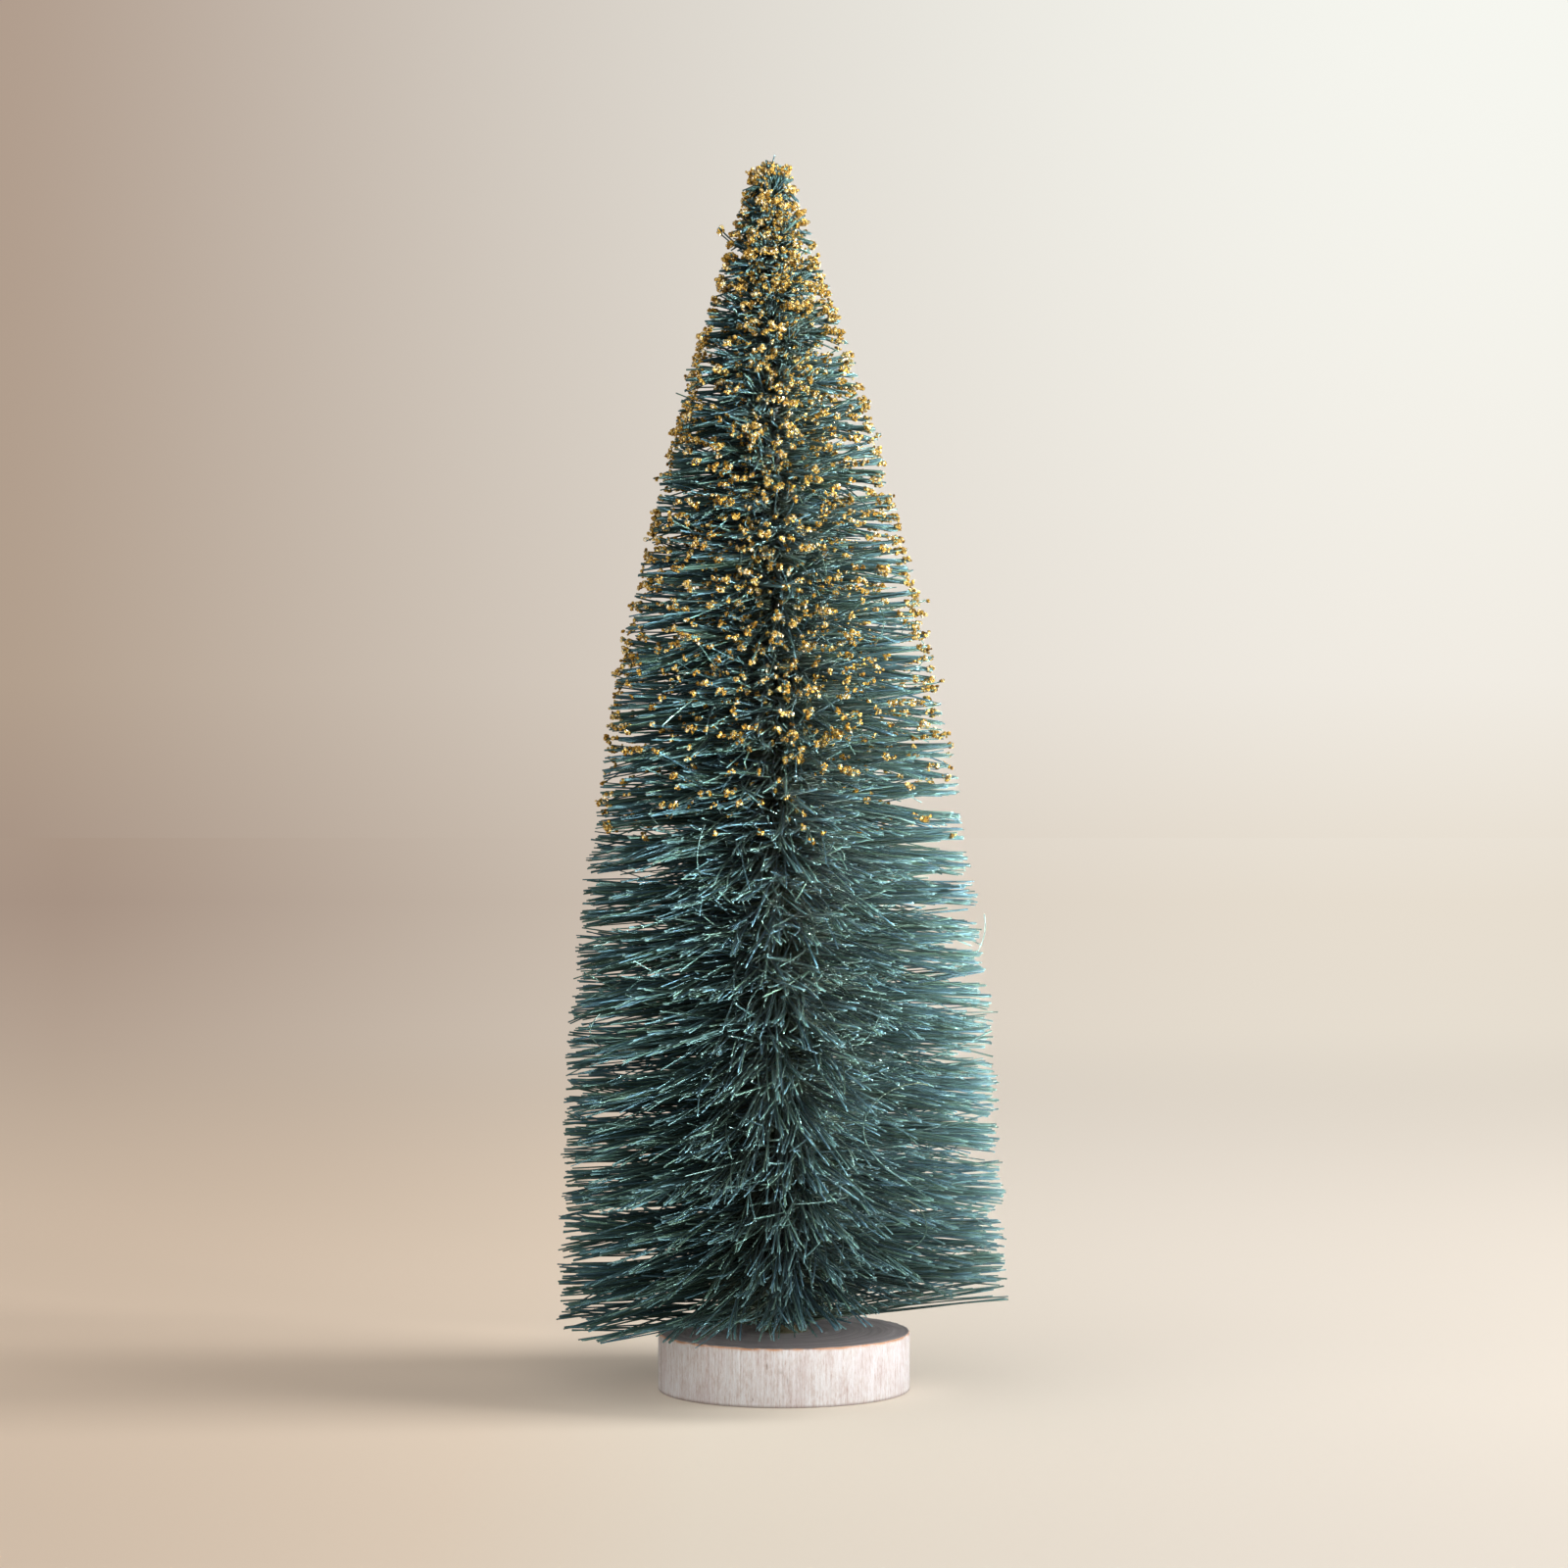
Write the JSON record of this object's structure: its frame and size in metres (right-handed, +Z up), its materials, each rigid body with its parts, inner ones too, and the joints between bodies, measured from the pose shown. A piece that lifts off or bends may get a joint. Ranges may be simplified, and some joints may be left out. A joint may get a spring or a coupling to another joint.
{
  "type": "tabletop christmas tree",
  "caption": "Cone-shaped bottle-brush christmas tree of dyed fibre on a twisted wire stem, with gold grains on its upper tips, standing on a round whitewashed wood disc.",
  "frame": {"origin": "centre of the wood disc's underside", "axes": "+Z up along the tree, -Y towards the picture's viewer, and the stem leans a little towards -X as it rises"},
  "size_m": [0.1125, 0.1125, 0.3049],
  "materials": {
    "whitewashed_wood": "thin pinkish-white wash with the grain showing on the side, charcoal stain on the top, and a bare orange-brown line where the top rim is rubbed",
    "sisal_fibre": "stiff dyed sisal strands, dark teal with a faint sheen, paler at cut ends",
    "gold_grain": "clumped angular gold grains, some bright and some amber",
    "stem_wire": "drawn steel wire, dull",
    "glue": "dried amber glue"
  },
  "bodies": {
    "root": {"base_disc": "whitewashed_wood", "bristle_tier_01": "sisal_fibre", "bristle_tier_02": "sisal_fibre", "bristle_tier_03": "sisal_fibre", "bristle_tier_04": "sisal_fibre", "bristle_tier_05": "sisal_fibre", "bristle_tier_06": "sisal_fibre", "bristle_tier_07": "sisal_fibre", "bristle_tier_08": "sisal_fibre", "bristle_tier_09": "sisal_fibre", "bristle_tier_10": "sisal_fibre", "bristle_tier_11": "sisal_fibre", "bristle_tier_12": "sisal_fibre", "bristle_tier_13": "sisal_fibre", "bristle_tier_14": "sisal_fibre", "bristle_tier_15": "sisal_fibre", "bristle_tier_16": "sisal_fibre", "bristle_tier_17": "sisal_fibre", "bristle_tier_18": "sisal_fibre", "bristle_tier_19": "sisal_fibre", "bristle_tier_20": "sisal_fibre", "bristle_tier_21": "sisal_fibre", "bristle_tier_22": "sisal_fibre", "bristle_tier_23": "sisal_fibre", "bristle_tier_24": "sisal_fibre", "glue_collar": "glue", "gold_grains_tier_11": "gold_grain", "gold_grains_tier_12": "gold_grain", "gold_grains_tier_13": "gold_grain", "gold_grains_tier_14": "gold_grain", "gold_grains_tier_15": "gold_grain", "gold_grains_tier_16": "gold_grain", "gold_grains_tier_17": "gold_grain", "gold_grains_tier_18": "gold_grain", "gold_grains_tier_19": "gold_grain", "gold_grains_tier_20": "gold_grain", "gold_grains_tier_21": "gold_grain", "gold_grains_tier_22": "gold_grain", "gold_grains_tier_23": "gold_grain", "gold_grains_tier_24": "gold_grain", "pinched_fibre_core": "sisal_fibre", "stem_wire_a": "stem_wire", "stem_wire_b": "stem_wire"}
  },
  "joints": []
}
